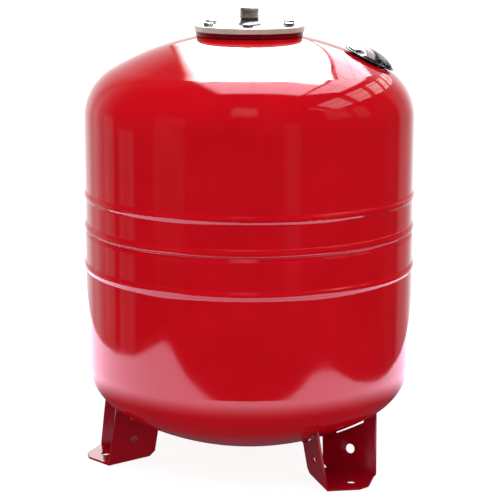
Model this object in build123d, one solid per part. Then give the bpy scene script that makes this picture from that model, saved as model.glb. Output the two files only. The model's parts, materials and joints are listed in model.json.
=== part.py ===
from build123d import *
from math import asin, cos, degrees, pi, sin, sqrt
import os

# Standing expansion vessel of the 80 litre class for closed heating circuits.
# Millimetres, +Z up, origin on the floor under the tank's axis, +X towards the air valve's side.

# ---- tank shells ----
TANK_R = 225.0              # outside radius of the upper shell
LOWER_R = 226.0             # outside radius of the lower shell
SHELL_T = 1.5
TOP_TANGENT_Z = 474.3       # where the wall turns into the top head
TOP_CROWN_R = 372.0
TOP_KNUCKLE_R = 75.0
BOTTOM_TANGENT_Z = 136.6
BOTTOM_CROWN_R = 361.0
BOTTOM_KNUCKLE_R = 73.0
UPPER_BEAD_Z = 371.0
LOWER_BEAD_Z = 274.0
BEAD_PROUD = 2.0
BEAD_CREST_HALF = 1.8
BEAD_TOP_RUN = 2.6          # height of a bead's steep upper flank
BEAD_FOOT_RUN = 5.5         # height of its shallow lower flank
BEAD_TOP_FILLET = 4.5
BEAD_FOOT_FILLET = 10.0

# ---- lap joint and its weld ----
UPPER_EDGE_Z = 323.5        # lower rim of the upper shell
JOGGLE_START_Z = 316.0
JOGGLE_END_Z = 321.5
LAP_TOP_Z = 350.0           # top of the lower shell's edge, inside the upper shell
LAP_GAP = 0.1
JOGGLE_FILLET = 3.0
WELD_TOP_Z = 333.0
WELD_CREST_Z = 327.2
WELD_TOE_Z = 320.7
WELD_PROUD = 2.2
WELD_ROOT = 0.4             # how far the weld metal runs into the plate

# ---- neck ring, flange and nozzle ----
FLANGE_R = 74.5
FLANGE_BOTTOM_Z = 590.0
FLANGE_T = 8.0
FLANGE_TOP_EDGE_R = 2.0
FLANGE_LOW_EDGE_R = 1.0
RING_R = 73.0
RING_BODY_R = 69.0
RING_BORE_R = 45.0
RING_RIM_T = 6.5
RING_BODY_T = 14.5
RING_EDGE_R = 0.8
CROWN_HOLE_GAP = 0.3
RING_WELD_LEG = 3.5
BOLT_CIRCLE_R = 62.0
BOLT_COUNT = 6
BOLT_PHASE = -92.0          # degrees, the bolt nearest the front
BOLT_R = 4.0                # M8
BOLT_HOLE_R = 4.5
BOLT_THREAD_HOLE_R = 4.1
BOLT_LENGTH = 25.0
BOLT_HEAD_AF = 13.0
BOLT_HEAD_H = 5.3
BOLT_HEAD_CHAMFER_H = 0.9
NOZZLE_TOP_Z = 622.0
NOZZLE_THREAD_R = 13.22     # G 3/4, major radius
NOZZLE_BORE_R = 10.0
NOZZLE_THREAD_LOW_Z = 609.0
NOZZLE_NECK_R = 12.0
NOZZLE_NECK_LOW_Z = 603.5
NOZZLE_FOOT_R = 15.5
NOZZLE_FOOT_TOP_Z = 599.8
NOZZLE_SPIGOT_R = 13.0
NOZZLE_EDGE = 0.8

# ---- membrane ----
LIP_T = 3.0
LIP_R = 56.0
LIP_SEAT_R = 56.5
MEMBRANE_T = 2.0
MEMBRANE_NECK_R = 43.0
MEMBRANE_NECK_Z = 552.0
MEMBRANE_R = 152.0
MEMBRANE_SHOULDER_Z = 508.0
MEMBRANE_LOW_Z = 118.0
MEMBRANE_BOTTOM_Z = 96.0
MEMBRANE_FILLETS = (14.0, 70.0, 110.0)

# ---- air valve, its boss and its cover; heights along the dome's normal from its surface ----
VALVE_R = 162.0             # distance of the valve from the tank's axis
VALVE_AZIMUTH = -6.0
BOSS_R = 15.0               # M30 outside thread
BOSS_TOP = 10.5
BOSS_BOTTOM = -13.0
BOSS_RECESS_R = 12.0
BOSS_RECESS_FLOOR = -3.0
BOSS_THREAD_HOLE_R = 4.95
BOSS_HOLE_GAP = 0.3
BOSS_WELD_LEG = 2.5
STEM_THREAD_R = 4.86        # 1/8 inch pipe thread
STEM_BOTTOM = -11.5
STEM_HEX_AF = 11.0
STEM_HEX_H = 3.4
STEM_R = 3.85               # 7.7 mm valve thread
STEM_TOP = 7.4
STEM_BORE_R = 2.6
SEAL_RING_T = 0.8
SEAL_RING_R = 6.2
CORE_R = 2.5
CORE_TOP = 6.3
CORE_BOTTOM = -6.2
CORE_WAIST_R = 1.9
CORE_WAIST = (-2.0, 0.0)
CORE_BORE_R = 1.3
CORE_GUIDE_R = 0.7
CORE_SHOULDER = -1.0
PIN_R = 0.6
PIN_TOP = 7.0
PIN_COLLAR_R = 1.15
PIN_COLLAR = (4.8, 5.5)
PIN_FOOT_R = 1.9
PIN_FOOT = (-9.2, -7.4)
PIN_SEAL_T = 1.1
SPRING_WIRE_R = 0.14
SPRING_R = 0.93
SPRING_TURNS = 7
DUST_CAP_R = 5.3
DUST_CAP_BORE_R = 3.92
DUST_CAP_BOTTOM = 2.6
DUST_CAP_TOP = 9.1
DUST_CAP_CEILING = 8.2
DUST_CAP_GRIPS = 16
DUST_CAP_GRIP_R = 0.45
DUST_SEAL_R = 3.5
FACE_GAP = 0.05             # between two pieces that only touch
COVER_R = 36.2
COVER_BOTTOM = 1.5
COVER_SKIRT_T = 1.7
COVER_BODY_R = 34.0
COVER_DOME_R = 66.0
COVER_TANGENT_H = 3.44      # where the shoulder starts, which puts the dome's top 14.6 up
COVER_CEILING = 12.0        # flat inside the collar
COVER_SHOULDER_R = 3.0
COVER_WALL = 2.0
COVER_FLUTES = 6
COVER_FLUTE_PHASE = -58.0
COVER_FLUTE_R = 14.0
COVER_FLUTE_CENTRE_R = 39.5
COVER_FLUTE_CENTRE_H = 14.5
COVER_COLLAR_BORE_R = 15.06
COVER_COLLAR_R = 17.5
COVER_EDGE_R = 0.7
COVER_SEAL_T = 1.3
COVER_SEAL_RADII = (12.6, 14.6)

# ---- feet; u runs outwards from the tank's axis, w across ----
FOOT_AZIMUTHS = (-48.2, 71.8, 191.8)
FOOT_T = 3.0
FOOT_OUTER = (206.5, 47.0)          # outer lower corner of a side plate
FOOT_INNER = (138.7, 15.6)          # inner lower corner
FOOT_TOP_OUTER = (196.8, 56.1, 78.9)
FOOT_TOP_INNER = (132.5, 20.5, 44.2)
FOOT_TOP_REACH = 1.3                # side plates are drawn on past these points and trimmed to the dome
FOOT_BLANK = 200.0                  # size of the blank that a foot is cut from
FOOT_BLANK_START = 128.0
FOOT_CORNER_CUT = 8.0
FOOT_TONGUE = (229.5, 8.5)
FOOT_TONGUE_R = 5.0
FOOT_BEND_R = 4.0
FOOT_INNER_BEND_R = 1.2
FOOT_HOLE_R = 6.5
FOOT_BASE_HOLE_U = 205.0
FOOT_SIDE_HOLE = (169.0, 32.0)      # u and height
FOOT_WELD = 3.5
FOOT_GAP = 2.2                      # slit under the dome between a plate's two welds
FOOT_GAP_REACH = (148.0, 183.0)     # its ends, along u


def head_points(radius, tangent_z, crown_r, knuckle_r, side, inset, end_r):
    """Points of a dished head's profile: wall, middle of the knuckle, joint, middle of the crown, end."""
    knuckle = Vector(radius - knuckle_r, tangent_z)
    drop = sqrt((crown_r - knuckle_r) ** 2 - knuckle.X ** 2)
    crown = Vector(0, tangent_z - side * drop)
    join_angle = asin(knuckle.X / (crown_r - knuckle_r))

    def on_arc(centre, arc_r, angle):
        return (centre.X + (arc_r - inset) * sin(angle), centre.Y + side * (arc_r - inset) * cos(angle))

    end_angle = asin(end_r / (crown_r - inset))
    return [
        on_arc(knuckle, knuckle_r, pi / 2),
        on_arc(knuckle, knuckle_r, (pi / 2 + join_angle) / 2),
        on_arc(crown, crown_r, join_angle),
        on_arc(crown, crown_r, (join_angle + end_angle) / 2),
        on_arc(crown, crown_r, end_angle),
    ]


def head_arcs(points):
    return [ThreePointArc(*points[0:3]), ThreePointArc(*points[2:5])]


def top_head(inset, end_r):
    return head_points(TANK_R, TOP_TANGENT_Z, TOP_CROWN_R, TOP_KNUCKLE_R, 1, inset, end_r)


def bottom_head(inset, end_r):
    return head_points(LOWER_R, BOTTOM_TANGENT_Z, BOTTOM_CROWN_R, BOTTOM_KNUCKLE_R, -1, inset, end_r)


def bead(radius, centre_z, downwards):
    """Corners of a rolled bead's outline and their fillets, in the order in which the wall is drawn."""
    steps = [
        (0, BEAD_CREST_HALF + BEAD_TOP_RUN),
        (BEAD_PROUD, BEAD_CREST_HALF),
        (BEAD_PROUD, -BEAD_CREST_HALF),
        (0, -BEAD_CREST_HALF - BEAD_FOOT_RUN),
    ]
    points = [(radius + out, centre_z + up) for out, up in steps]
    fillets = [BEAD_TOP_FILLET] * 2 + [BEAD_FOOT_FILLET] * 2
    if downwards:
        return points, fillets
    return points[::-1], fillets[::-1]


def revolved(*curves):
    edges = [edge for curve in curves for edge in curve.edges()]
    return revolve(Plane.XZ * make_face(edges), Axis.Z)


def ring(inner_r, outer_r, low, high):
    solid = Pos(0, 0, low) * extrude(Circle(outer_r), high - low)
    if inner_r > 0:
        solid -= Pos(0, 0, low) * extrude(Circle(inner_r), high - low)
    return solid


def lathe(points):
    return revolved(Polyline(*points, close=True))


def around(count, phase, radius):
    return [Rot(0, 0, phase + 360 / count * i) * Pos(radius, 0, 0) for i in range(count)]


def valve_frame():
    """Frame on the dome's outside surface, its Z along the dome's normal and its X downhill."""
    apex_z = top_head(0, 0)[-1][1]
    tilt = degrees(asin(VALVE_R / TOP_CROWN_R))
    to_surface = Pos(0, 0, apex_z - TOP_CROWN_R) * Rot(0, tilt, 0) * Pos(0, 0, TOP_CROWN_R)
    return Rot(0, 0, VALVE_AZIMUTH) * to_surface


# ---- tank ----

def upper_shell():
    def wall(inset):
        radius = TANK_R - inset
        points, fillets = bead(radius, UPPER_BEAD_Z, True)
        return FilletPolyline((radius, TOP_TANGENT_Z), *points, (radius, UPPER_EDGE_Z), radius=fillets)

    hole_r = RING_BODY_R + CROWN_HOLE_GAP
    outer = top_head(0, hole_r)
    inner = top_head(SHELL_T, hole_r)
    foot_edge = Line((TANK_R, UPPER_EDGE_Z), (TANK_R - SHELL_T, UPPER_EDGE_Z))
    mouth = Line(outer[4], inner[4])
    shell = revolved(*head_arcs(outer), wall(0), foot_edge, wall(SHELL_T), *head_arcs(inner), mouth)
    boss_hole = valve_frame() * ring(0, BOSS_R + BOSS_HOLE_GAP, BOSS_BOTTOM, BOSS_TOP)
    return shell - boss_hole


def lower_shell():
    lap_r = TANK_R - SHELL_T - LAP_GAP

    def wall(inset):
        points, fillets = bead(LOWER_R - inset, LOWER_BEAD_Z, False)
        corners = [
            (LOWER_R - inset, BOTTOM_TANGENT_Z),
            *points,
            (LOWER_R - inset, JOGGLE_START_Z),
            (lap_r - inset, JOGGLE_END_Z),
            (lap_r - inset, LAP_TOP_Z),
        ]
        return FilletPolyline(*corners, radius=fillets + [JOGGLE_FILLET] * 2)

    outer = bottom_head(0, 0)
    inner = bottom_head(SHELL_T, 0)
    lap_edge = Line((lap_r, LAP_TOP_Z), (lap_r - SHELL_T, LAP_TOP_Z))
    low_end = Line(outer[4], inner[4])
    return revolved(*head_arcs(outer), wall(0), lap_edge, wall(SHELL_T), *head_arcs(inner), low_end)


def seam_weld():
    lap_r = TANK_R - SHELL_T
    top = (TANK_R, WELD_TOP_Z)
    toe = (lap_r + WELD_ROOT, WELD_TOE_Z)
    face = ThreePointArc(top, (TANK_R + WELD_PROUD, WELD_CREST_Z), toe)
    root_r = TANK_R - WELD_ROOT
    root = Polyline(toe, (lap_r, UPPER_EDGE_Z), (root_r, UPPER_EDGE_Z), (root_r, WELD_TOP_Z), top)
    return revolved(face, root)


# ---- crown opening ----

def neck_ring():
    rim_bottom = FLANGE_BOTTOM_Z - RING_RIM_T
    body_bottom = FLANGE_BOTTOM_Z - RING_BODY_T
    solid = lathe([
        (RING_BORE_R, body_bottom),
        (RING_BODY_R, body_bottom),
        (RING_BODY_R, rim_bottom),
        (RING_R, rim_bottom),
        (RING_R, FLANGE_BOTTOM_Z),
        (LIP_SEAT_R, FLANGE_BOTTOM_Z),
        (LIP_SEAT_R, FLANGE_BOTTOM_Z - LIP_T),
        (RING_BORE_R, FLANGE_BOTTOM_Z - LIP_T),
    ])
    circles = solid.edges().filter_by(GeomType.CIRCLE)
    rim_edges = circles.filter_by(lambda e: abs(e.radius - RING_R) < 0.01)
    solid = fillet(rim_edges, RING_EDGE_R)
    for place in around(BOLT_COUNT, BOLT_PHASE, BOLT_CIRCLE_R):
        solid -= place * ring(0, BOLT_THREAD_HOLE_R, body_bottom, FLANGE_BOTTOM_Z)
    return solid


def neck_ring_weld():
    """Fillet weld in the corner between the ring's body and the underside of the dome."""
    shell_underside = top_head(SHELL_T, RING_BODY_R)[-1][1]
    return lathe([
        (RING_BODY_R - WELD_ROOT, shell_underside + WELD_ROOT),
        (RING_BODY_R + RING_WELD_LEG, shell_underside),
        (RING_BODY_R, shell_underside - RING_WELD_LEG),
        (RING_BODY_R - WELD_ROOT, shell_underside - RING_WELD_LEG),
    ])


def counter_flange():
    top_z = FLANGE_BOTTOM_Z + FLANGE_T
    solid = ring(NOZZLE_SPIGOT_R + FACE_GAP, FLANGE_R, FLANGE_BOTTOM_Z, top_z)
    rims = solid.edges().filter_by(GeomType.CIRCLE).filter_by(lambda e: abs(e.radius - FLANGE_R) < 0.01)
    solid = fillet(rims.sort_by(Axis.Z)[-1], FLANGE_TOP_EDGE_R)
    rims = solid.edges().filter_by(GeomType.CIRCLE).filter_by(lambda e: abs(e.radius - FLANGE_R) < 0.01)
    solid = fillet(rims.sort_by(Axis.Z)[0], FLANGE_LOW_EDGE_R)
    for place in around(BOLT_COUNT, BOLT_PHASE, BOLT_CIRCLE_R):
        solid -= place * ring(0, BOLT_HOLE_R, FLANGE_BOTTOM_Z, top_z)
    return solid


def inlet_nozzle():
    flange_top = FLANGE_BOTTOM_Z + FLANGE_T
    return lathe([
        (NOZZLE_BORE_R, FLANGE_BOTTOM_Z),
        (NOZZLE_SPIGOT_R, FLANGE_BOTTOM_Z),
        (NOZZLE_SPIGOT_R, flange_top),
        (NOZZLE_FOOT_R, flange_top),
        (NOZZLE_FOOT_R, NOZZLE_FOOT_TOP_Z),
        (NOZZLE_NECK_R, NOZZLE_NECK_LOW_Z),
        (NOZZLE_NECK_R, NOZZLE_THREAD_LOW_Z - NOZZLE_EDGE),
        (NOZZLE_THREAD_R, NOZZLE_THREAD_LOW_Z),
        (NOZZLE_THREAD_R, NOZZLE_TOP_Z - NOZZLE_EDGE),
        (NOZZLE_THREAD_R - NOZZLE_EDGE, NOZZLE_TOP_Z),
        (NOZZLE_BORE_R, NOZZLE_TOP_Z),
    ])


def hexagon_prism(across_flats, low, high):
    return Pos(0, 0, low) * extrude(RegularPolygon(across_flats / 2, 6, major_radius=False), high - low)


def flange_bolt():
    """One hexagon bolt, its head's seat at height 0."""
    corner_r = BOLT_HEAD_AF / sqrt(3)
    chamfer_r = BOLT_HEAD_AF / 2 * 0.95
    head = hexagon_prism(BOLT_HEAD_AF, 0, BOLT_HEAD_H)
    head &= lathe([
        (0, 0),
        (corner_r, 0),
        (corner_r, BOLT_HEAD_H - BOLT_HEAD_CHAMFER_H),
        (chamfer_r, BOLT_HEAD_H),
        (0, BOLT_HEAD_H),
    ])
    return head + ring(0, BOLT_R, -BOLT_LENGTH, 0)


def flange_bolts():
    seat = Pos(0, 0, FLANGE_BOTTOM_Z + FLANGE_T)
    places = around(BOLT_COUNT, BOLT_PHASE, BOLT_CIRCLE_R)
    return Compound([seat * place * flange_bolt() for place in places])


def membrane():
    def side(inset):
        corners = [
            (MEMBRANE_NECK_R - inset, FLANGE_BOTTOM_Z),
            (MEMBRANE_NECK_R - inset, MEMBRANE_NECK_Z),
            (MEMBRANE_R - inset, MEMBRANE_SHOULDER_Z),
            (MEMBRANE_R - inset, MEMBRANE_LOW_Z + inset),
            (0, MEMBRANE_BOTTOM_Z + inset),
        ]
        return FilletPolyline(*corners, radius=MEMBRANE_FILLETS)

    top_edge = Line((MEMBRANE_NECK_R, FLANGE_BOTTOM_Z), (MEMBRANE_NECK_R - MEMBRANE_T, FLANGE_BOTTOM_Z))
    low_edge = Line((0, MEMBRANE_BOTTOM_Z), (0, MEMBRANE_BOTTOM_Z + MEMBRANE_T))
    bag = revolved(side(0), top_edge, side(MEMBRANE_T), low_edge)
    lip = ring(MEMBRANE_NECK_R - MEMBRANE_T, LIP_R, FLANGE_BOTTOM_Z - LIP_T, FLANGE_BOTTOM_Z)
    return bag + lip


# ---- air valve, built upright and then set on the dome ----

def valve_boss():
    solid = ring(BOSS_THREAD_HOLE_R, BOSS_R, BOSS_BOTTOM, BOSS_TOP)
    return solid - ring(0, BOSS_RECESS_R, BOSS_RECESS_FLOOR, BOSS_TOP)


def valve_boss_weld():
    low = -SHELL_T - BOSS_WELD_LEG
    return lathe([
        (BOSS_R - WELD_ROOT, low),
        (BOSS_R, low),
        (BOSS_R + BOSS_WELD_LEG, -SHELL_T - WELD_ROOT),
        (BOSS_R + BOSS_WELD_LEG, -SHELL_T),
        (BOSS_R - WELD_ROOT, -SHELL_T),
    ])


def valve_stem():
    hex_low = BOSS_RECESS_FLOOR + SEAL_RING_T
    solid = ring(0, STEM_THREAD_R, STEM_BOTTOM, hex_low)
    solid += hexagon_prism(STEM_HEX_AF, hex_low, hex_low + STEM_HEX_H)
    solid += ring(0, STEM_R, hex_low + STEM_HEX_H, STEM_TOP)
    return solid - ring(0, STEM_BORE_R, STEM_BOTTOM, STEM_TOP)


def valve_seal_ring():
    return ring(BOSS_THREAD_HOLE_R, SEAL_RING_R, BOSS_RECESS_FLOOR, BOSS_RECESS_FLOOR + SEAL_RING_T)


def valve_core_body():
    solid = ring(CORE_BORE_R, CORE_R, CORE_SHOULDER, CORE_TOP)
    solid += ring(CORE_GUIDE_R, CORE_R, CORE_BOTTOM, CORE_SHOULDER)
    return solid - ring(CORE_WAIST_R, CORE_R, *CORE_WAIST)


def valve_core_gasket():
    return ring(CORE_WAIST_R, STEM_BORE_R, *CORE_WAIST)


def valve_core_pin():
    solid = ring(0, PIN_R, PIN_FOOT[1], PIN_TOP)
    solid += ring(0, PIN_COLLAR_R, *PIN_COLLAR)
    return solid + ring(0, PIN_FOOT_R, *PIN_FOOT)


def valve_core_pin_seal():
    return ring(PIN_R, PIN_FOOT_R, PIN_FOOT[1], PIN_FOOT[1] + PIN_SEAL_T)


def valve_core_spring():
    low = CORE_SHOULDER + SPRING_WIRE_R + FACE_GAP
    height = PIN_COLLAR[0] - SPRING_WIRE_R - FACE_GAP - low
    path = Helix(height / SPRING_TURNS, height, SPRING_R)
    return Pos(0, 0, low) * sweep(Plane(path @ 0, z_dir=path % 0) * Circle(SPRING_WIRE_R), path)


def valve_dust_cap():
    solid = ring(0, DUST_CAP_R, DUST_CAP_BOTTOM, DUST_CAP_TOP)
    solid = chamfer(solid.edges().sort_by(Axis.Z)[-1], COVER_EDGE_R)
    solid -= ring(0, DUST_CAP_BORE_R, DUST_CAP_BOTTOM, DUST_CAP_CEILING)
    for place in around(DUST_CAP_GRIPS, 0, DUST_CAP_R):
        solid -= place * ring(0, DUST_CAP_GRIP_R, DUST_CAP_BOTTOM, DUST_CAP_TOP)
    return solid


def valve_dust_cap_seal():
    return ring(0, DUST_SEAL_R, STEM_TOP + FACE_GAP, DUST_CAP_CEILING - FACE_GAP)


def valve_cover():
    """Hollow domed and fluted cover with a wide thin skirt and a threaded collar that screws over the boss."""
    def body(inset, flute_r, low):
        points = head_points(COVER_BODY_R, COVER_TANGENT_H, COVER_DOME_R, COVER_SHOULDER_R, 1, inset, 0)
        sides = Polyline(points[0], (points[0][0], low), (0, low), points[4])
        solid = revolved(*head_arcs(points), sides)
        scoop = Pos(0, 0, COVER_FLUTE_CENTRE_H) * Sphere(flute_r)
        for place in around(COVER_FLUTES, COVER_FLUTE_PHASE, COVER_FLUTE_CENTRE_R):
            solid -= place * scoop
        return solid

    skirt = ring(0, COVER_R, COVER_BOTTOM, COVER_BOTTOM + COVER_SKIRT_T)
    skirt = fillet(skirt.edges().sort_by(Axis.Z)[-1], COVER_EDGE_R)
    solid = skirt + body(0, COVER_FLUTE_R, COVER_BOTTOM)
    solid -= body(COVER_WALL, COVER_FLUTE_R + COVER_WALL, COVER_BOTTOM)
    solid += ring(0, COVER_COLLAR_R, COVER_BOTTOM, COVER_CEILING)
    return solid - ring(0, COVER_COLLAR_BORE_R, COVER_BOTTOM, COVER_CEILING)


def valve_cover_seal():
    inner_r, outer_r = COVER_SEAL_RADII
    return ring(inner_r, outer_r, BOSS_TOP + FACE_GAP, BOSS_TOP + FACE_GAP + COVER_SEAL_T)


# ---- feet ----

def tank_body(offset):
    """Solid of the lower shell's outside, grown by offset, which the feet are trimmed to."""
    outer = bottom_head(-offset, 0)
    wall_top = BOTTOM_TANGENT_Z + BOTTOM_KNUCKLE_R
    sides = Polyline(outer[0], (outer[0][0], wall_top), (0, wall_top), outer[4])
    return revolved(*head_arcs(outer), sides)


def side_face():
    """Plane of the outer face of the side plate on the +w side, its Z pointing outwards."""
    lower_outer = Vector(*FOOT_OUTER, 0)
    along = Vector(*FOOT_INNER, 0) - lower_outer
    upwards = Vector(*FOOT_TOP_OUTER) - lower_outer
    return Plane(origin=lower_outer, x_dir=along, z_dir=along.cross(upwards))


def trough(inset, bend_r):
    """Solid between the two slanted side faces, moved in by inset, with its two lower edges rounded."""
    half = FOOT_BLANK / 2
    solid = Pos(FOOT_BLANK_START + half, 0, inset + half) * Box(FOOT_BLANK, FOOT_BLANK, FOOT_BLANK)
    block = Box(4 * FOOT_BLANK, 4 * FOOT_BLANK, 2 * FOOT_BLANK)
    beyond = side_face().offset(-inset) * Pos(0, 0, FOOT_BLANK) * block
    solid = solid - beyond - mirror(beyond, Plane.XZ)
    folds = solid.faces().sort_by(Axis.Z)[0].edges().filter_by(lambda edge: abs((edge % 0.5).Y) > 0.1)
    folds = folds.filter_by(lambda edge: abs((edge % 0.5).X) > 0.1)
    return fillet(folds, bend_r)


def side_outline():
    """Feet seen from the side: the side plates' slanted ends, drawn on past the dome."""
    inner_u, outer_u = FOOT_INNER[0], FOOT_OUTER[0]
    top_inner_u, _, top_inner_z = FOOT_TOP_INNER
    top_outer_u, _, top_outer_z = FOOT_TOP_OUTER
    reach = FOOT_TOP_REACH
    corners = [
        (inner_u + FOOT_CORNER_CUT, 0),
        (inner_u + (top_inner_u - inner_u) * FOOT_CORNER_CUT / top_inner_z, FOOT_CORNER_CUT),
        (inner_u + (top_inner_u - inner_u) * reach, top_inner_z * reach),
        (outer_u + (top_outer_u - outer_u) * reach, top_outer_z * reach),
        (outer_u, 0),
    ]
    return Plane.XZ * extrude(make_face(Polyline(*corners, close=True)), FOOT_BLANK, both=True)


def tongue():
    """Flat end of the base plate that reaches outwards past the side plates."""
    outer_u, outer_w = FOOT_OUTER
    tongue_u, tongue_w = FOOT_TONGUE
    root_w = outer_w - FOOT_BEND_R
    corners = [(outer_u - FOOT_T, root_w), (outer_u, root_w), (tongue_u, tongue_w)]
    corners += [(u, -w) for u, w in corners[::-1]]
    plate = extrude(make_face(Polyline(*corners, close=True)), FOOT_T)
    return fillet(plate.edges().filter_by(Axis.Z).sort_by(Axis.X)[-2:], FOOT_TONGUE_R)


def gap_band():
    """Slab across a foot, between the two ends of the slits over its side plates."""
    start, end = FOOT_GAP_REACH
    return Pos((start + end) / 2, 0, FOOT_BLANK / 2) * Box(end - start, FOOT_BLANK, FOOT_BLANK)


def foot(tank, slit):
    """Bent sheet foot: base plate, two side plates folded up from it, tongue and holes."""
    sheet = trough(0, FOOT_BEND_R) - trough(FOOT_T, FOOT_INNER_BEND_R)
    solid = (sheet & side_outline()) - tank - slit
    solid += tongue()
    solid -= Pos(FOOT_BASE_HOLE_U, 0, 0) * extrude(Circle(FOOT_HOLE_R), FOOT_T)
    hole_u, hole_z = FOOT_SIDE_HOLE
    normal = side_face().z_dir
    hole_w = FOOT_OUTER[1] - (normal.X * (hole_u - FOOT_OUTER[0]) + normal.Z * hole_z) / normal.Y
    side_drill = extrude(Circle(FOOT_HOLE_R), FOOT_T * 2, both=True)
    drill = Plane(origin=(hole_u, hole_w, hole_z), z_dir=normal) * side_drill
    return solid - drill - mirror(drill, Plane.XZ)


def foot_weld_set(tank, grown_tank):
    """Weld beads outside a foot's two side plates, at both ends of the edge that meets the dome."""
    slab = side_face() * Pos(0, 0, FOOT_WELD / 2) * Box(4 * FOOT_BLANK, 4 * FOOT_BLANK, FOOT_WELD)
    strips = ((slab & side_outline() & grown_tank) - tank - gap_band()).solids()
    return [*strips, *[mirror(strip, Plane.XZ) for strip in strips]]


def main():
    os.makedirs("parts", exist_ok=True)
    on_dome = valve_frame()
    upright = {
        "valve_boss": valve_boss(),
        "valve_boss_weld": valve_boss_weld(),
        "valve_stem": valve_stem(),
        "valve_seal_ring": valve_seal_ring(),
        "valve_core_body": valve_core_body(),
        "valve_core_gasket": valve_core_gasket(),
        "valve_core_pin": valve_core_pin(),
        "valve_core_pin_seal": valve_core_pin_seal(),
        "valve_core_spring": valve_core_spring(),
        "valve_dust_cap": valve_dust_cap(),
        "valve_dust_cap_seal": valve_dust_cap_seal(),
        "valve_cover": valve_cover(),
        "valve_cover_seal": valve_cover_seal(),
    }
    nodes = {name: on_dome * shape for name, shape in upright.items()}
    nodes["upper_shell"] = upper_shell()
    nodes["lower_shell"] = lower_shell()
    nodes["seam_weld"] = seam_weld()
    nodes["neck_ring"] = neck_ring()
    nodes["neck_ring_weld"] = neck_ring_weld()
    nodes["counter_flange"] = counter_flange()
    nodes["inlet_nozzle"] = inlet_nozzle()
    nodes["flange_bolts"] = flange_bolts()
    nodes["membrane"] = membrane()

    tank = tank_body(0)
    one_foot = foot(tank, tank_body(FOOT_GAP) & gap_band())
    weld_set = foot_weld_set(tank, tank_body(FOOT_WELD))
    welds = []
    for number, azimuth in enumerate(FOOT_AZIMUTHS, start=1):
        turn = Rot(0, 0, azimuth)
        nodes[f"foot_{number}"] = turn * one_foot
        welds += [turn * weld for weld in weld_set]
    nodes["foot_welds"] = Compound(welds)

    for name, shape in nodes.items():
        export_step(shape, f"parts/{name}.step")


main()
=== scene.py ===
import json
import math

import bmesh
import bpy
import numpy as np
from mathutils import Matrix, Vector


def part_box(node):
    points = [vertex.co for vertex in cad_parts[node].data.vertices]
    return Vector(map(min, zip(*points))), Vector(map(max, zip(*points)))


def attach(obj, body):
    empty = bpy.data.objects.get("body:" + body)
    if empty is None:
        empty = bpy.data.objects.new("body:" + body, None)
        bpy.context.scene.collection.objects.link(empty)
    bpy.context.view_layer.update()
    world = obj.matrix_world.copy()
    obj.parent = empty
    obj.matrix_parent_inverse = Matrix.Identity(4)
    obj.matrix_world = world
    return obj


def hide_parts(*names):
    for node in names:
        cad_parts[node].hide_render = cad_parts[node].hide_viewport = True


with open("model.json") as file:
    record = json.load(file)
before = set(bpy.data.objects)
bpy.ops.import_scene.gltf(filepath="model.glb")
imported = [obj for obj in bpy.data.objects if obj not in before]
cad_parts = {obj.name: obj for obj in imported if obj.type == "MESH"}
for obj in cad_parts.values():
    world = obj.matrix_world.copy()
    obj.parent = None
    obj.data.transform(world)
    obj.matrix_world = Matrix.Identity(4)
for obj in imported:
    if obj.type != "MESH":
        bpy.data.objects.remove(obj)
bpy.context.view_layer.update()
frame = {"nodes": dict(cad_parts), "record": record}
scene = bpy.context.scene
TURN = 2 * math.pi


# ---------------------------------------------------------------- node helpers

class Graph:
    """A material's or world's node tree, with short calls that make and link nodes."""

    def __init__(self, tree):
        self.tree = tree
        tree.nodes.clear()

    def node(self, kind, inputs=None, **settings):
        made = self.tree.nodes.new("ShaderNode" + kind)
        for key, value in settings.items():
            setattr(made, key, value)
        for key, value in (inputs or {}).items():
            self.feed(made.inputs[key], value)
        return made

    def feed(self, socket, value):
        if isinstance(value, bpy.types.NodeSocket):
            self.tree.links.new(value, socket)
        elif isinstance(value, bpy.types.Node):
            self.tree.links.new(value.outputs[0], socket)
        else:
            socket.default_value = value

    def math(self, operation, a, b=0.0, c=None):
        made = self.node("Math", operation=operation)
        self.feed(made.inputs[0], a)
        self.feed(made.inputs[1], b)
        if c is not None:
            self.feed(made.inputs[2], c)
        return made.outputs[0]

    def ramp(self, factor, stops, interpolation="LINEAR"):
        made = self.node("ValToRGB", {0: factor})
        made.color_ramp.interpolation = interpolation
        elements = made.color_ramp.elements
        while len(elements) < len(stops):
            elements.new(1.0)
        for element, (place, value) in zip(elements, stops):
            element.position = place
            element.color = value if len(value) == 4 else (*value, 1.0)
        return made.outputs["Color"]

    def mix(self, factor, a, b, blend="MIX"):
        made = self.node("Mix", data_type="RGBA", blend_type=blend)
        self.feed(made.inputs[0], factor)
        self.feed(made.inputs[6], a)
        self.feed(made.inputs[7], b)
        return made.outputs[2]

    def noise(self, where, scale, detail=3.0, roughness=0.5):
        inputs = {"Vector": where, "Scale": scale, "Detail": detail, "Roughness": roughness}
        return self.node("TexNoise", inputs)

    def map_range(self, value, low, high, at_low=0.0, at_high=1.0, interpolation="LINEAR"):
        inputs = {"Value": value, "From Min": low, "From Max": high, "To Min": at_low, "To Max": at_high}
        return self.node("MapRange", inputs, interpolation_type=interpolation).outputs["Result"]

    def from_axis(self, x, y):
        """Distance from the Z axis."""
        squares = self.math("ADD", self.math("POWER", x, 2.0), self.math("POWER", y, 2.0))
        return self.math("SQRT", squares)


def grey(value):
    return (value, value, value, 1.0)


# ---------------------------------------------------------------- materials

def new_material(name):
    material = bpy.data.materials.new(name)
    material.use_nodes = True
    graph = Graph(material.node_tree)
    output = graph.node("OutputMaterial")
    shader = graph.node("BsdfPrincipled")
    graph.feed(output.inputs["Surface"], shader)
    where = graph.node("TexCoord").outputs["Object"]
    return material, graph, shader, where


def bump(graph, height, strength, distance, normal=None):
    inputs = {"Height": height, "Strength": strength, "Distance": distance}
    if normal is not None:
        inputs["Normal"] = normal
    return graph.node("Bump", inputs).outputs["Normal"]


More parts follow.
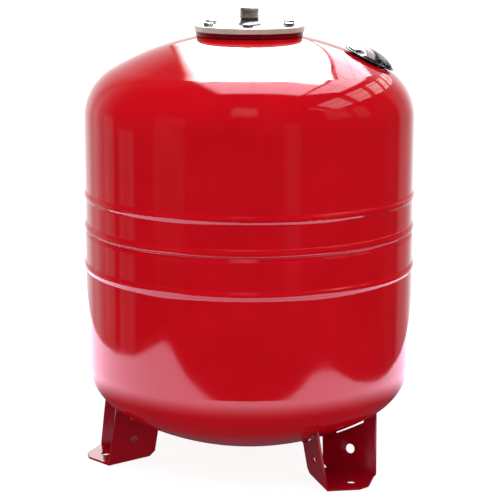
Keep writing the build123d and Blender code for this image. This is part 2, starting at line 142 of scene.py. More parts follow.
def patches(graph, cloud, light, dark):
    """Colour that drifts between two tints with a noise."""
    share = graph.ramp(cloud, [(0.35, grey(0)), (0.7, grey(1))])
    return graph.mix(share, (*light, 1), (*dark, 1))


def uneven_gloss(graph, shader, noise, start, end, rough, spread):
    """Roughness that rises by spread while a noise goes from start to end."""
    stops = [(start, grey(rough)), (end, grey(rough + spread))]
    graph.feed(shader.inputs["Roughness"], graph.ramp(noise, stops))


DUST_TINT = (0.8, 0.35, 0.3, 1)
# painted shade: the near-black tint of the shaded undercut under the nozzle's thread
UNDERCUT_SHADE_TINT = (0.05, 0.048, 0.045, 1)


def enamel(name, tint, depth, gloss, refraction):
    """Stoved enamel on steel sheet: orange peel, faint waviness of the sheet, dust and uneven gloss."""
    material, graph, shader, where = new_material(name)
    cloud = graph.noise(where, 9.0, 4.0, 0.6)
    speck = graph.noise(where, 900.0, 2.0, 0.7)
    dust = graph.ramp(speck, [(0.70, grey(0)), (0.80, grey(0.22))])
    colour = graph.mix(dust, patches(graph, cloud, tint, depth), DUST_TINT)
    graph.feed(shader.inputs["Base Color"], colour)
    smear = graph.noise(where, 22.0, 5.0, 0.65)
    uneven_gloss(graph, shader, smear, 0.3, 0.8, gloss, 0.05)
    shader.inputs["IOR"].default_value = refraction
    peel = graph.noise(where, 420.0, 2.0, 0.5)
    wave = graph.noise(where, 16.0, 2.0, 0.4)
    normal = bump(graph, wave, 0.35, 0.0006)
    graph.feed(shader.inputs["Normal"], bump(graph, peel, 0.25, 0.00003, normal))
    return material


def metal(name, light, dark, rough, streak, metallic=1.0, undercut_shade=None):
    """Bare or plated metal: tool marks, stains and duller patches; painted shade darkens a band of heights.
    """
    material, graph, shader, where = new_material(name)
    stain = graph.noise(where, 45.0, 5.0, 0.65)
    colour = patches(graph, stain, light, dark)
    x, y, height = graph.node("SeparateXYZ", {0: where}).outputs
    # painted shade: a band of heights, blurred by a noise, is darkened to the shade tint
    if undercut_shade:
        wander = graph.math("ADD", height, graph.math("MULTIPLY", graph.noise(where, 400.0), 0.0006))
        spread = graph.map_range(wander, *undercut_shade)
        band = graph.ramp(spread, [(0.0, grey(0)), (0.15, grey(0.9)), (0.85, grey(0.9)), (1.0, grey(0))])
        colour = graph.mix(band, colour, UNDERCUT_SHADE_TINT)
    graph.feed(shader.inputs["Base Color"], colour)
    shader.inputs["Metallic"].default_value = metallic
    mark = graph.noise(where, 700.0, 3.0, 0.6)
    dull = graph.noise(where, 80.0, 4.0, 0.6)
    uneven_gloss(graph, shader, dull, 0.3, 0.75, rough, 0.14)
    across = graph.math("MULTIPLY", graph.from_axis(x, y), 9000.0)
    up = graph.math("MULTIPLY", height, 7000.0)
    rings = graph.math("SINE", graph.math("ADD", across, up))
    normal = bump(graph, rings, streak, 0.00002)
    graph.feed(shader.inputs["Normal"], bump(graph, mark, 0.35, 0.00004, normal))
    return material


def moulded(name, tint, depth, rough, peel_scale, peel_strength):
    """Plastic or rubber with a faint moulded texture and handling marks."""
    material, graph, shader, where = new_material(name)
    cloud = graph.noise(where, 60.0, 4.0, 0.6)
    graph.feed(shader.inputs["Base Color"], patches(graph, cloud, tint, depth))
    scuff = graph.noise(where, 150.0, 5.0, 0.7)
    uneven_gloss(graph, shader, scuff, 0.35, 0.75, rough, 0.12)
    grain = graph.noise(where, peel_scale, 3.0, 0.6)
    graph.feed(shader.inputs["Normal"], bump(graph, grain, peel_strength, 0.00005))
    return material


UNDERCUT_LOW, UNDERCUT_HIGH = 0.6035, 0.6095        # heights of the band of painted shade in the undercut under the nozzle's thread

materials = {
    "shell_enamel": enamel(
        "shell_enamel_paint", (0.62, 0.003, 0.010), (0.56, 0.002, 0.008), 0.05, 1.5),
    "foot_enamel": enamel(
        "foot_enamel_paint", (0.33, 0.002, 0.010), (0.25, 0.001, 0.008), 0.12, 1.32),
    "flange_steel": metal(
        "flange_steel_turned", (0.86, 0.79, 0.71), (0.70, 0.62, 0.53), 0.30, 0.3, metallic=0.45),
    "nozzle_steel": metal(
        "nozzle_steel_machined", (0.66, 0.65, 0.62), (0.48, 0.47, 0.44), 0.36, 0.15,
        undercut_shade=(UNDERCUT_LOW, UNDERCUT_HIGH)),
    "bolt_zinc": metal(
        "bolt_zinc_plated", (0.78, 0.79, 0.80), (0.60, 0.61, 0.62), 0.22, 0.0),
    "weld_steel": metal(
        "weld_steel_bare", (0.30, 0.28, 0.26), (0.16, 0.14, 0.12), 0.42, 0.0),
    "boss_steel": metal(
        "boss_steel_turned", (0.62, 0.61, 0.58), (0.45, 0.43, 0.40), 0.28, 0.1),
    "valve_brass": metal(
        "valve_brass_turned", (0.80, 0.60, 0.26), (0.62, 0.43, 0.16), 0.22, 0.1),
    "spring_steel": metal(
        "spring_steel_drawn", (0.66, 0.66, 0.66), (0.50, 0.50, 0.50), 0.22, 0.0),
    "membrane_rubber": moulded(
        "membrane_rubber_moulded", (0.022, 0.022, 0.024), (0.034, 0.034, 0.036), 0.55, 900.0, 0.4),
    "seal_rubber": moulded(
        "seal_rubber_moulded", (0.018, 0.018, 0.019), (0.030, 0.030, 0.030), 0.50, 1500.0, 0.3),
    "cover_plastic": moulded(
        "cover_plastic_gloss", (0.006, 0.006, 0.007), (0.009, 0.009, 0.010), 0.08, 1200.0, 0.06),
    "dust_cap_plastic": moulded(
        "dust_cap_plastic_moulded", (0.020, 0.020, 0.021), (0.030, 0.030, 0.031), 0.40, 1500.0, 0.3),
}
# painted shade: the shell's red enamel made much darker for the neck ring, which sits in shade under the
# flange
neck_painted_shade_enamel = enamel("neck_ring_enamel_painted_shade", (0.17, 0.001, 0.006), (0.10, 0.001, 0.004), 0.12, 1.4)

slot_of = {part["node"]: part["material_slot"] for part in frame["record"]["subparts"]}
for name, node in frame["nodes"].items():
    for socket in node.material_slots:
        # the neck ring gets the darkened enamel with painted shade, every other node its own slot's material
        socket.material = neck_painted_shade_enamel if name == "neck_ring" else materials[slot_of[name]]


# ---------------------------------------------------------------- shapes, in metres

MM = 0.001
SAME_PLACE = 1e-9
FLANGE_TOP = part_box("counter_flange")[1][2]


def circle_steps(count):
    return np.arange(count) * TURN / count


def ring_row(radius, height, angles):
    """Points around the Z axis; radius and height are numbers or one value per angle."""
    radius = np.broadcast_to(radius, angles.shape)
    height = np.broadcast_to(height, angles.shape)
    return np.stack([radius * np.cos(angles), radius * np.sin(angles), height], axis=1)


def finely(corners, step):
    """Points along straight lines between corners, no further apart than step."""
    points = [corners[0]]
    for start, end in zip(corners[:-1], corners[1:]):
        start, end = np.array(start), np.array(end)
        count = max(1, int(math.ceil(np.linalg.norm(end - start) / step)))
        points += [tuple(start + (end - start) * (i + 1) / count) for i in range(count)]
    return points


def skin(rows, closed):
    """Vertices and faces over rows of points that run around; a row shrunk to a point is one vertex."""
    points, starts, sizes, faces = [], [], [], []
    count = len(rows[0])
    for row in rows:
        size = 1 if np.ptp(row, axis=0).max() < SAME_PLACE else count
        starts.append(len(points))
        sizes.append(size)
        points += list(row[:size])
    pairs = list(zip(range(len(rows) - 1), range(1, len(rows))))
    if closed:
        pairs.append((len(rows) - 1, 0))
    for low, high in pairs:
        for i in range(count):
            j = (i + 1) % count
            corners = [starts[low] + i % sizes[low], starts[low] + j % sizes[low],
                       starts[high] + j % sizes[high], starts[high] + i % sizes[high]]
            unique = list(dict.fromkeys(corners))
            if len(unique) > 2:
                faces.append(unique)
    return points, faces


def merged(skins):
    points, faces = [], []
    for more_points, more_faces in skins:
        faces += [[index + len(points) for index in face] for face in more_faces]
        points += list(more_points)
    return points, faces


def piece(name, points_and_faces, node, body, place=None, sharp=35.0):
    """A mesh that stands in for a CAD node, riding on its body with its material."""
    points, faces = points_and_faces
    mesh = bpy.data.meshes.new(name)
    mesh.from_pydata([tuple(p) for p in points], [], faces)
    if place is not None:
        mesh.transform(place)
    shape = bmesh.new()
    shape.from_mesh(mesh)
    bmesh.ops.recalc_face_normals(shape, faces=shape.faces)
    shape.to_mesh(mesh)
    shape.free()
    mesh.polygons.foreach_set("use_smooth", [True] * len(mesh.polygons))
    mesh.set_sharp_from_angle(angle=math.radians(sharp))
    mesh.materials.append(materials[slot_of[node]])
    made = bpy.data.objects.new(name, mesh)
    scene.collection.objects.link(made)
    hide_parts(node)
    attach(made, body)
    return made


def groove(height, angles, pitch):
    """Depth share, 0 on the crests and 1 at the roots, of a rounded V thread."""
    phase = (height / pitch - angles / TURN) % 1.0
    slope = np.clip((1 - np.abs(2 * phase - 1) - 0.12) / 0.76, 0, 1)
    return slope * slope * (3 - 2 * slope)


def outside_radius(corners, height):
    """Largest radius of an outline at a height, which is its outside."""
    found = []
    for (r0, z0), (r1, z1) in zip(corners[:-1], corners[1:]):
        if min(z0, z1) - SAME_PLACE <= height <= max(z0, z1) + SAME_PLACE:
            level = abs(z1 - z0) < SAME_PLACE
            found.append(max(r0, r1) if level else r0 + (r1 - r0) * (height - z0) / (z1 - z0))
    return max(found)


def threaded(corners, step, low, high, pitch, depth, count):
    """Rows of a turned shape whose outside between two heights carries a thread; its ends run out."""
    angles = circle_steps(count)
    rows = []
    for radius, height in finely(corners, step):
        inside = np.clip(min(height - low, high - height) / (pitch * 0.6), 0, 1)
        on_thread = abs(radius - outside_radius(corners, height)) < 1e-7
        cut = depth * inside * groove(height, angles, pitch) if on_thread and inside > 0 else 0
        rows.append(ring_row(radius - cut, height, angles))
    return rows


def in_metres(outline):
    return [(radius * MM, height * MM) for radius, height in outline]


# ---- water nozzle, G 3/4 ----

NOZZLE_THREAD_LOW, NOZZLE_THREAD_HIGH = 0.6092, 0.6216
NOZZLE_PITCH, NOZZLE_THREAD_DEPTH = 1.814 * MM, 1.15 * MM
COLLAR_LOW = FLANGE_TOP / MM

nozzle_outline = [
    (10.0, 590.0), (13.0, 590.0), (13.0, COLLAR_LOW), (15.1, COLLAR_LOW), (15.5, COLLAR_LOW + 0.4),
    (15.5, 599.6), (15.1, 600.1), (12.3, 603.2), (12.0, 603.8), (12.0, 608.0), (13.1, 609.0),
    (13.22, 609.2), (13.22, 621.0), (12.5, 621.8), (12.1, 622.0), (10.5, 622.0), (10.0, 621.5)]
nozzle_rows = threaded(in_metres(nozzle_outline), 0.22 * MM, NOZZLE_THREAD_LOW, NOZZLE_THREAD_HIGH,
                       NOZZLE_PITCH, NOZZLE_THREAD_DEPTH, 180)
piece("water_nozzle", skin(nozzle_rows, True), "inlet_nozzle", "tank")


# ---- flange bolts, M8 ----

BOLT_CIRCLE_R = 0.062
BOLT_PHASE = -92.0                                  # azimuth of the bolt nearest the front, in degrees
BOLT_SPINS = (8, 31, 52, 17, 44, 3)                 # how far each head is turned when tight, in degrees
BOLT_AF = 13.0 * MM
BOLT_HEAD = 5.3 * MM
BOLT_SEAT_R = 0.94 * BOLT_AF / 2
BOLT_SEAT_T = 0.35 * MM
BOLT_DISH = 0.2 * MM                                # depth of the dished top
BOLT_RIM_R, BOLT_DISH_R = 0.88 * BOLT_SEAT_R, 0.84 * BOLT_SEAT_R
BOLT_LOW_SLOPE, BOLT_TOP_SLOPE = 2.6, 1.75          # of the head's two chamfers, radius over height
BOLT_THREAD_LOW, BOLT_THREAD_HIGH = -0.0246, -0.010
BOLT_PITCH, BOLT_THREAD_DEPTH = 1.25 * MM, 0.65 * MM


def bolt(head_turn):
    angles = circle_steps(96)
    hexagon = BOLT_AF / 2 / np.cos((angles + math.pi / 6) % (math.pi / 3) - math.pi / 6)
    shank = [(0, -25.0), (3.3, -25.0), (4.0, -24.3), (4.0, -0.2), (4.6, 0.0)]
    rows = threaded(in_metres(shank), 0.3 * MM, BOLT_THREAD_LOW, BOLT_THREAD_HIGH,
                    BOLT_PITCH, BOLT_THREAD_DEPTH, 96)
    rows += [ring_row(BOLT_SEAT_R, 0, angles), ring_row(BOLT_SEAT_R, BOLT_SEAT_T, angles)]
    for height in np.linspace(BOLT_SEAT_T, BOLT_HEAD, 22):
        low_cone = BOLT_SEAT_R + (height - BOLT_SEAT_T) * BOLT_LOW_SLOPE
        top_cone = BOLT_SEAT_R + (BOLT_HEAD - height) * BOLT_TOP_SLOPE
        rows.append(ring_row(np.minimum(hexagon, np.minimum(low_cone, top_cone)), height, angles))
    rows.append(ring_row(BOLT_RIM_R, BOLT_HEAD, angles))
    rows.append(ring_row(BOLT_DISH_R, BOLT_HEAD - BOLT_DISH, angles))
    rows.append(ring_row(0, BOLT_HEAD - BOLT_DISH, angles))
    points, faces = skin(rows, False)
    spin = Matrix.Rotation(head_turn, 4, "Z")
    return [spin @ Vector(p) for p in points], faces


bolt_skins = []
for number, spin in enumerate(BOLT_SPINS):
    around = math.radians(BOLT_PHASE + 360 / len(BOLT_SPINS) * number)
    spot = (BOLT_CIRCLE_R * math.cos(around), BOLT_CIRCLE_R * math.sin(around), FLANGE_TOP)
    seat = Matrix.Translation(spot)
    points, faces = bolt(math.radians(spin))
    bolt_skins.append(([seat @ p for p in points], faces))
piece("flange_bolt_set", merged(bolt_skins), "flange_bolts", "tank", sharp=22.0)


# ---- seam weld between the shells ----

def weld_wander(angles, seed, waves):
    """Slow irregularity around the seam, within about 1 either way."""
    chance = np.random.default_rng(seed)
    total = sum(chance.uniform(-1, 1) * np.sin(k * angles + chance.uniform(0, TURN)) for k in waves)
    return total / math.sqrt(len(waves))


UPPER_R, LAP_R = 0.2250, 0.2236                     # the weld's feet, on the upper shell and on the lap
SEAM_LOW, SEAM_TALL = 0.3207, 0.0123
SEAM_ROOT = 0.4 * MM                                # how far its inside lies under its feet
UPPER_EDGE = 0.3235                                 # height of the upper shell's rim
SEAM_RIPPLES = 150

angles = circle_steps(1440)
ripple_phase = angles * SEAM_RIPPLES
ripple = 1 - np.abs(np.sin(ripple_phase + 0.8 * weld_wander(angles, 5, range(20, 60)))) ** 0.7
swell = weld_wander(angles, 11, range(3, 24))
shift = weld_wander(angles, 23, range(2, 17))
seam_rows = []
for part in np.linspace(0, 1, 27):
    crown = math.sin(math.pi * part) ** 0.8
    height = SEAM_LOW + SEAM_TALL * part + 0.4 * MM * shift * crown
    lean = 0.06 * np.cos(ripple_phase + 2.2 * part)
    proud = (0.1 + crown * (1.75 + 0.22 * swell + 0.16 * ripple + lean)) * MM
    base = LAP_R + (UPPER_R - LAP_R) * min(1.0, max(0.0, (part - 0.12) / 0.12))
    seam_rows.append(ring_row(base + proud, height, angles))
for radius, height in ((UPPER_R, SEAM_LOW + SEAM_TALL), (UPPER_R, UPPER_EDGE + 0.2 * MM),
                       (LAP_R, UPPER_EDGE), (LAP_R, SEAM_LOW)):
    seam_rows.append(ring_row(radius - SEAM_ROOT, height, angles))
piece("seam_bead", skin(seam_rows, True), "seam_weld", "tank", sharp=60.0)


# ---- weld beads along the feet ----

LOWER_R, BOTTOM_TANGENT = 0.226, 0.1366             # the lower shell's radius, and where its wall ends
BOTTOM_CROWN_R, BOTTOM_KNUCKLE_R = 0.361, 0.073


def dome_height(radius):
    """Height of the lower dome's outside at a distance from the axis."""
    knuckle_centre = LOWER_R - BOTTOM_KNUCKLE_R
    reach = BOTTOM_CROWN_R - BOTTOM_KNUCKLE_R
    if radius <= knuckle_centre * BOTTOM_CROWN_R / reach:
        drop = math.sqrt(reach ** 2 - knuckle_centre ** 2)
        return BOTTOM_TANGENT + drop - math.sqrt(BOTTOM_CROWN_R ** 2 - radius ** 2)
    return BOTTOM_TANGENT - math.sqrt(max(0.0, BOTTOM_KNUCKLE_R ** 2 - (radius - knuckle_centre) ** 2))


# a side plate's outer face, its outer corner first, at the floor and near the dome
FOOT_LOW = (Vector((0.2065, 0.047, 0)), Vector((0.1387, 0.0156, 0)))
FOOT_HIGH = (Vector((0.1968, 0.0561, 0.0789)), Vector((0.1325, 0.0205, 0.0442)))
FOOT_AZIMUTHS = (-48.2, 71.8, 191.8)
SHEET = 3.0 * MM
OUTER_BEAD_R, INNER_BEAD_R = 2.3 * MM, 1.9 * MM
# how far a bead's face lies inside the outer one, its radius, and its ends as shares of the plate's edge
FOOT_BEADS = ((0.0, OUTER_BEAD_R, 0.03, 0.20), (0.0, OUTER_BEAD_R, 0.78, 0.97),
              (SHEET, INNER_BEAD_R, 0.06, 0.19), (SHEET, INNER_BEAD_R, 0.80, 0.95))
plate_normal = (FOOT_LOW[0] - FOOT_LOW[1]).cross(FOOT_HIGH[0] - FOOT_LOW[0]).normalized()
if plate_normal.y < 0:
    plate_normal.negate()


def foot_line(inset, count, start, end):
    """Points where a side plate's face, moved in by inset, meets the dome."""
    line = []
    for part in np.linspace(start, end, count):
        low = FOOT_LOW[0].lerp(FOOT_LOW[1], part) - plate_normal * inset
        high = FOOT_HIGH[0].lerp(FOOT_HIGH[1], part) - plate_normal * inset
        below, above = 0.3, 1.3
        for _ in range(30):
            middle = (below + above) / 2
            point = low.lerp(high, middle)
            if point.z < dome_height(math.hypot(point.x, point.y)):
                below = middle
            else:
                above = middle
        line.append(low.lerp(high, below))
    return line


def bead_along(line, radius, chance):
    """A weld bead with overlapping ripples along a line of points."""
    angles = circle_steps(20)
    rows = []
    count = len(line)
    phase = chance.uniform(0, TURN)
    for i, point in enumerate(line):
        ahead = (line[min(i + 1, count - 1)] - line[max(i - 1, 0)]).normalized()
        side = ahead.cross(plate_normal).normalized()
        away = side.cross(ahead)
        end = min(i, count - 1 - i) / (count - 1)
        taper = math.sqrt(min(1.0, end / 0.12))
        wave = abs(math.sin(phase + i * 0.55))
        size = radius * taper * (0.9 + 0.12 * wave + 0.05 * chance.uniform(-1, 1))
        rows.append(np.array([point + (side * math.cos(a) + away * math.sin(a)) * size for a in angles]))
    return skin(rows, False)


foot_bead_skins = []
chance = np.random.default_rng(7)
for azimuth in FOOT_AZIMUTHS:
    turn = Matrix.Rotation(math.radians(azimuth), 4, "Z")
    flip = Matrix.Scale(-1, 4, (0, 1, 0))
    for inset, radius, start, end in FOOT_BEADS:
        for place in (turn, turn @ flip):
            points, faces = bead_along(foot_line(inset, 34, start, end), radius, chance)
            foot_bead_skins.append(([place @ Vector(p) for p in points], faces))
piece("foot_weld_beads", merged(foot_bead_skins), "foot_welds", "tank", sharp=70.0)


# ---- air valve: its frame on the dome, boss and cover ----

VALVE_R = 0.162                                     # the valve's distance from the tank's axis
VALVE_AZIMUTH = -6.0
TOP_CROWN_R = 0.372
TOP_APEX = 0.589962                                 # height of the upper shell's outside on the axis
COVER_PITCH = 2.5                                   # of the M30 thread under the cover, in mm

tilt = math.asin(VALVE_R / TOP_CROWN_R)
on_dome = (Matrix.Rotation(math.radians(VALVE_AZIMUTH), 4, "Z")
           @ Matrix.Translation((0, 0, TOP_APEX - TOP_CROWN_R))
           @ Matrix.Rotation(tilt, 4, "Y") @ Matrix.Translation((0, 0, TOP_CROWN_R)))

BOSS_THREAD_LOW, BOSS_THREAD_HIGH = 0.0012, 0.0103
BOSS_THREAD_DEPTH = 1.3 * MM
boss_outline = [
    (4.95, -13.0), (14.4, -13.0), (15.0, -12.4), (15.0, 9.8), (14.3, 10.5), (12.5, 10.5), (12.0, 10.0),
    (12.0, -3.0), (5.4, -3.0), (4.95, -3.4)]
boss_rows = threaded(in_metres(boss_outline), 0.3 * MM, BOSS_THREAD_LOW, BOSS_THREAD_HIGH,
                     COVER_PITCH * MM, BOSS_THREAD_DEPTH, 150)
piece("valve_boss_thread", skin(boss_rows, True), "valve_boss", "tank", on_dome)

# the cover, in mm
COVER_R, COVER_BODY_R = 36.2, 34.0
COVER_LOW, COVER_SKIRT_TOP, COVER_CEILING = 1.5, 3.2, 12.0
COVER_DOME_R, COVER_SHOULDER, COVER_TANGENT = 66.0, 3.0, 3.44
COVER_TOP = 14.595
COVER_WALL = 2.0
SKIRT_EDGE, SKIRT_BLEND = 0.7, 0.8
HUB_R, HUB_CHAMFER_R, HUB_MOUTH_R = 17.5, 17.2, 15.9
HUB_FOOT, HUB_TOP = 2.0, 10.0
HUB_CORNER = (18.4, 10.1)                           # where the wall's inside meets the threaded hub
HUB_THREAD_LOW, HUB_THREAD_HIGH = 2.3, 11.9
HUB_CREST_R, HUB_THREAD_DEPTH, HUB_RUN_OUT = 15.06, 0.75, 1.2
FLUTES, FLUTE_PHASE = 6, -58.0
FLUTE_R, FLUTE_OUT, FLUTE_UP, FLUTE_BLEND = 14.0, 39.5, 14.5, 1.6
RAY_START, RAY_APEX = 60.0, -12.0                   # rays come in towards a point below the cover


def soft_max(a, b, width):
    share = np.clip(0.5 + 0.5 * (a - b) / width, 0, 1)
    return b + (a - b) * share + width * share * (1 - share)


def cover_distance(radius, angle, height, inset):
    """Distance outside the cover's body, in mm, with its flutes blended in; negative inside."""
    knuckle = COVER_BODY_R - COVER_SHOULDER
    drop = math.sqrt((COVER_DOME_R - COVER_SHOULDER) ** 2 - knuckle ** 2)
    dome = np.hypot(radius, height - COVER_TANGENT + drop) - COVER_DOME_R
    corner = np.hypot(radius - knuckle, height - COVER_TANGENT) - COVER_SHOULDER
    wall = radius - COVER_BODY_R
    on_corner = (height > COVER_TANGENT) & (radius * drop > knuckle * (height - COVER_TANGENT + drop))
    body = np.where(on_corner, corner, np.where(height > COVER_TANGENT, dome, wall)) + inset
    around = (angle - math.radians(FLUTE_PHASE)) % (TURN / FLUTES)
    around = np.minimum(around, TURN / FLUTES - around)
    x = radius * np.cos(around) - FLUTE_OUT
    y = radius * np.sin(around)
    scoop = FLUTE_R + inset - np.sqrt(x * x + y * y + (height - FLUTE_UP) ** 2)
    return soft_max(body, scoop, FLUTE_BLEND)


def cast_inwards(angles, elevation, distance_at):
    """Radius and height where rays from outside towards the apex first meet the surface."""
    reach = np.full(angles.shape, RAY_START)
    for _ in range(70):
        radius = reach * math.cos(elevation)
        height = RAY_APEX + reach * math.sin(elevation)
        reach = reach - 0.75 * np.maximum(distance_at(radius, angles, height), 0)
    return reach * math.cos(elevation), RAY_APEX + reach * math.sin(elevation)


def outer_distance(radius, angle, height):
    middle = (COVER_LOW + COVER_SKIRT_TOP) / 2
    across = radius - (COVER_R - SKIRT_EDGE)
    up = np.abs(height - middle) - (COVER_SKIRT_TOP - COVER_LOW) / 2 + SKIRT_EDGE
    beyond = np.hypot(np.maximum(across, 0), np.maximum(up, 0))
    skirt = beyond + np.minimum(np.maximum(across, up), 0) - SKIRT_EDGE
    return -soft_max(-cover_distance(radius, angle, height, 0.0), -skirt, SKIRT_BLEND)


def inner_distance(radius, angle, height):
    return cover_distance(radius, angle, height, COVER_WALL)


def ray_elevation(radius, height):
    return math.atan2(height - RAY_APEX, radius)


angles = circle_steps(336)
cover_rows = [ring_row(0, COVER_TOP, angles)]
low_ray = ray_elevation(COVER_R, COVER_LOW + 0.5)
for elevation in np.linspace(math.radians(88.5), low_ray, 112):
    cover_rows.append(ring_row(*cast_inwards(angles, elevation, outer_distance), angles))
cover_rows.append(ring_row(COVER_R - 0.2, COVER_LOW + 0.15, angles))
cover_rows.append(ring_row(COVER_R - 0.6, COVER_LOW, angles))
inner_low = ray_elevation(COVER_BODY_R - COVER_WALL, COVER_LOW)
inner_high = ray_elevation(*HUB_CORNER)
inner_rows = []
for elevation in np.linspace(inner_low, inner_high, 40):
    inner_rows.append(cast_inwards(angles, elevation, inner_distance))
cover_rows.append(ring_row(inner_rows[0][0], COVER_LOW, angles))
cover_rows += [ring_row(radius, height, angles) for radius, height in inner_rows]
hub_outline = ((HUB_R, HUB_TOP), (HUB_R, HUB_FOOT), (HUB_CHAMFER_R, COVER_LOW), (HUB_MOUTH_R, COVER_LOW))
cover_rows += [ring_row(radius, height, angles) for radius, height in hub_outline]
for height in np.arange(HUB_THREAD_LOW, HUB_THREAD_HIGH, 0.3):
    inside = min(1.0, (HUB_THREAD_HIGH - height) / HUB_RUN_OUT)
    root = HUB_THREAD_DEPTH * inside * (1 - groove(height - COVER_PITCH / 2, angles, COVER_PITCH))
    cover_rows.append(ring_row(HUB_CREST_R + root, height, angles))
cover_rows.append(ring_row(HUB_CREST_R, COVER_CEILING, angles))
cover_rows.append(ring_row(0, COVER_CEILING, angles))
cover_skin = skin([row * MM for row in cover_rows], False)
piece("fluted_cover", cover_skin, "valve_cover", "cover", on_dome, sharp=50.0)


# ---- bent sheet feet: the CAD meshes with their cut edges broken ----

for number in (1, 2, 3):
    sheet = frame["nodes"]["foot_%d" % number]
    flat = sheet.modifiers.new("flat faces", "DECIMATE")
    flat.decimate_type = "DISSOLVE"
    flat.angle_limit = math.radians(0.6)
    edges = sheet.modifiers.new("broken edges", "BEVEL")
    edges.width = 0.45 * MM
    edges.segments = 3
    edges.limit_method = "ANGLE"
    edges.angle_limit = math.radians(40)


# ---------------------------------------------------------------- camera

CAMERA_DISTANCE = 2.1372
CAMERA_HEIGHT = 0.7336
CAMERA_DOWN = math.radians(11.116)
CAMERA_YAW = math.radians(0.032)
CAMERA_ROLL = math.radians(0.112)

camera_data = bpy.data.cameras.new("camera")
camera_data.sensor_width = 36.0
camera_data.lens = 112.67
camera_data.shift_y = -0.0387
camera = bpy.data.objects.new("camera", camera_data)
scene.collection.objects.link(camera)
stand = Matrix.Translation((0, -CAMERA_DISTANCE, CAMERA_HEIGHT))
aim = Matrix.Rotation(-CAMERA_YAW, 4, "Z") @ Matrix.Rotation(math.pi / 2 - CAMERA_DOWN, 4, "X")
camera.matrix_world = stand @ aim @ Matrix.Rotation(CAMERA_ROLL, 4, "Z")
scene.camera = camera
scene.view_settings.view_transform = "Standard"


# ---------------------------------------------------------------- studio

def plane_object(name, corners, material):
    """A flat card through these corners, which isn't part of the object."""
    mesh = bpy.data.meshes.new(name)
    mesh.from_pydata([tuple(c) for c in corners], [], [tuple(range(len(corners)))])
    mesh.materials.append(material)
    card = bpy.data.objects.new(name, mesh)
    scene.collection.objects.link(card)
    return card


def only_in_reflections(card):
    card.visible_camera = False
    card.visible_diffuse = False
    card.visible_transmission = False
    card.visible_shadow = False
    card.visible_volume_scatter = False


def light_material(name):
    """An emitter's material; returns it with its graph, its emission node and the place in the room."""
    material = bpy.data.materials.new(name)
    material.use_nodes = True
    material.cycles.emission_sampling = "NONE"
    graph = Graph(material.node_tree)
    output = graph.node("OutputMaterial")
    emission = graph.node("Emission")
    graph.feed(output.inputs["Surface"], emission)
    where = graph.node("SeparateXYZ", {0: graph.node("TexCoord").outputs["Object"]})
    return material, graph, emission, where.outputs


def bars(graph, coordinate, first, spacing, width, dark):
    """1 between bars and dark on them, for bars of a width at each spacing from first."""
    along = graph.math("SUBTRACT", coordinate, first - width / 2)
    wave = graph.math("FRACT", graph.math("DIVIDE", along, spacing))
    clear = graph.math("GREATER_THAN", wave, width / spacing)
    return graph.math("ADD", graph.math("MULTIPLY", clear, 1 - dark), dark)


def window(graph, value, low, high, soft):
    """1 between low and high, falling to 0 over soft beyond each."""
    rise = graph.map_range(value, low - soft, low, 0.0, 1.0, "SMOOTHSTEP")
    fall = graph.map_range(value, high, high + soft, 1.0, 0.0, "SMOOTHSTEP")
    return graph.math("MULTIPLY", rise, fall)


def product(graph, first, *others):
    """Several values multiplied together."""
    for other in others:
        first = graph.math("MULTIPLY", first, other)
    return first


SKY_Z = 5.0
SKY_END = 40.0                                      # beyond every card


def sky_card(name, corners, material):
    only_in_reflections(plane_object(name, [(x, y, SKY_Z) for x, y in corners], material))


skylight, graph, emission, (x, y, z) = light_material("skylight")
front_part = graph.math("LESS_THAN", y, 1.55)
level = graph.math("SUBTRACT", 15.0, graph.math("MULTIPLY", front_part, 8.5))
across = graph.math("ADD", x, graph.math("MULTIPLY", y, 0.08))
strength = product(
    graph, bars(graph, y, 1.55, 20.0, 0.09, 0.25), bars(graph, x, 0.1, 1.1, 0.03, 0.7),
    bars(graph, y, 3.6, 2.2, 0.04, 0.75), level, window(graph, across, -0.95, SKY_END, 0.42),
    window(graph, y, -0.55, SKY_END, 0.45), graph.map_range(y, 5.0, 12.0, 1.0, 0.3))
graph.feed(emission.inputs["Strength"], strength)
graph.feed(emission.inputs["Color"], graph.mix(front_part, (1.0, 1.0, 1.0, 1), (1.0, 0.86, 1.0, 1)))
sky_card("skylight_main", [(-1.3, -1.0), (2.05, -1.0), (2.05, 19), (-2.9, 19)], skylight)

side_light, graph, emission, (x, y, z) = light_material("skylight_side")
strength = product(graph, bars(graph, y, 2.0, 2.4, 0.12, 0.5), bars(graph, x, 2.75, 0.7, 0.05, 0.6), 5.0)
graph.feed(emission.inputs["Strength"], strength)
emission.inputs["Color"].default_value = (1.0, 0.88, 1.0, 1)
sky_card("skylight_right", [(2.2, -0.6), (3.5, 0.9), (3.6, 19), (2.2, 19)], side_light)

far_light, graph, emission, (x, y, z) = light_material("skylight_far")
strength = product(graph, bars(graph, y, 0.3, 3.1, 0.9, 0.05), bars(graph, x, 5.9, 1.3, 0.15, 0.4), 2.4)
graph.feed(emission.inputs["Strength"], strength)
sky_card("skylight_far_right", [(3.9, -3.4), (6.3, -3.4), (7.3, 17), (4.8, 17)], far_light)

# the pale sheet under the vessel, as its paint reflects it: a painted shadow of the tank keeps it dark beside
# the tank, bright further out
PAPER_Z = -0.001
paper_light, graph, emission, (x, y, z) = light_material("paper_sweep")
# painted shadow: the strength is low near the tank's axis and rises further out
strength = graph.map_range(graph.from_axis(x, y), 0.27, 0.52, 0.10, 3.8, "SMOOTHSTEP")
graph.feed(emission.inputs["Strength"], strength)
emission.inputs["Color"].default_value = (1.0, 0.74, 0.95, 1)


def corner_arc(centre, radius, start, end):
    """Points of a rounded corner on the floor, angles in degrees."""
    angles = np.radians(np.linspace(start, end, 9))
    return [(centre[0] + radius * math.cos(a), centre[1] + radius * math.sin(a)) for a in angles]


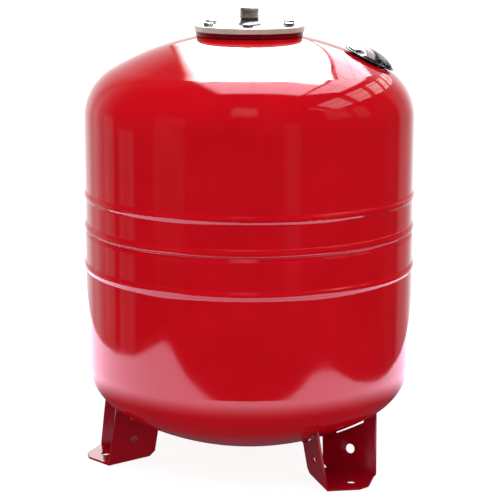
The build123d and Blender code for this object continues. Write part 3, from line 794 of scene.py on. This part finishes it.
paper_outline = corner_arc((-0.68, -0.50), 0.115, 180, 270)
paper_outline += corner_arc((0.43, -0.42), 0.20, 270, 360)
paper_outline += [
    (0.645, 0.20), (0.61, 0.41), (0.54, 0.62), (0.42, 0.86), (0.20, 1.05), (-0.20, 1.10),
    (-0.42, 0.95), (-0.55, 0.80), (-0.65, 0.60), (-0.72, 0.39), (-0.77, 0.19), (-0.797, -0.10)]
only_in_reflections(plane_object("paper_sweep", [(x, y, PAPER_Z) for x, y in paper_outline], paper_light))

floor_material = bpy.data.materials.new("floor_pale")
floor_material.use_nodes = True
floor_material.cycles.emission_sampling = "NONE"
shader = floor_material.node_tree.nodes["Principled BSDF"]
shader.inputs["Base Color"].default_value = (0.20, 0.20, 0.20, 1)
shader.inputs["Roughness"].default_value = 1.0
shader.inputs["Specular IOR Level"].default_value = 0.0
shader.inputs["Emission Color"].default_value = (1, 1, 1, 1)
shader.inputs["Emission Strength"].default_value = 0.90
FLOOR_REACH, FLOOR_Z = 60.0, -0.0005
floor_corners = [(x * FLOOR_REACH, y * FLOOR_REACH, FLOOR_Z) for x, y in ((-1, -1), (1, -1), (1, 1), (-1, 1))]
floor = plane_object("floor", floor_corners, floor_material)
floor.visible_diffuse = False
floor.visible_glossy = False
floor.visible_shadow = False

world = bpy.data.worlds.new("studio")
scene.world = world
world.use_nodes = True
world.cycles.sampling_method = "NONE"
graph = Graph(world.node_tree)
output = graph.node("OutputWorld")
direction = graph.node("TexCoord").outputs["Generated"]
axes = graph.node("SeparateXYZ", {0: direction}).outputs
from_front = graph.math("ARCTAN2", axes[0], graph.math("MULTIPLY", axes[1], -1.0))
azimuth = graph.math("MULTIPLY", from_front, 180 / math.pi)
elevation = graph.math("MULTIPLY", graph.math("ARCSINE", axes[2]), 180 / math.pi)

# brightness of the room's walls by azimuth in degrees, 0 in front and positive to the right
SURROUND = [
    (-180, 1.15), (-150, 1.1), (-140, 0.62), (-133, 0.85), (-126, 0.5), (-120, 0.3), (-112, 0.12),
    (-106, 0.03), (0, 0.03), (104, 0.03), (112, 0.06), (124, 0.05), (130, 0.36), (140, 0.42),
    (150, 0.7), (158, 1.1)]
turn_share = graph.math("ADD", graph.math("DIVIDE", azimuth, 360.0), 0.5)
walls = graph.ramp(turn_share, [(a / 360 + 0.5, grey(v)) for a, v in SURROUND])
glossy_light = graph.math("MULTIPLY", walls, graph.map_range(elevation, 2.0, 40.0, 1.0, 0.12))

# windows of the room: azimuths from and to, elevations from and to, brightness
STRIPS = [
    (-99, -88, -30, -9, 0.30), (-117, -109, -12, 2, 0.30), (-66, -47, -8, 20, 0.13),
    (-12, 4, 36, 46, 0.9), (26, 33, -9, 14, 0.16), (84, 92, 18, 26, 0.3), (60, 75, 22, 30, 0.35)]
haze = graph.ramp(graph.noise(direction, 5.0, 4.0, 0.6), [(0.3, grey(0.35)), (0.7, grey(1.3))])
for left, right, low, high, value in STRIPS:
    strip = product(graph, window(graph, azimuth, left, right, 4.0),
                    window(graph, elevation, low, high, 7.0), haze, value)
    glossy_light = graph.math("ADD", glossy_light, strip)
room = graph.node("Background", {"Strength": glossy_light})
room.inputs["Color"].default_value = (1.0, 0.96, 0.98, 1)
fill = graph.node("Background", {"Strength": graph.map_range(axes[2], -1.0, 1.0, 0.35, 1.75)})
backdrop = graph.node("Background", {"Strength": 1.1})
backdrop.inputs["Color"].default_value = (1, 1, 1, 1)
rays = graph.node("LightPath").outputs
lighting = graph.node("MixShader", {0: rays["Is Diffuse Ray"], 1: room, 2: fill})
surface = graph.node("MixShader", {0: rays["Is Camera Ray"], 1: lighting, 2: backdrop})
graph.feed(output.inputs["Surface"], surface)
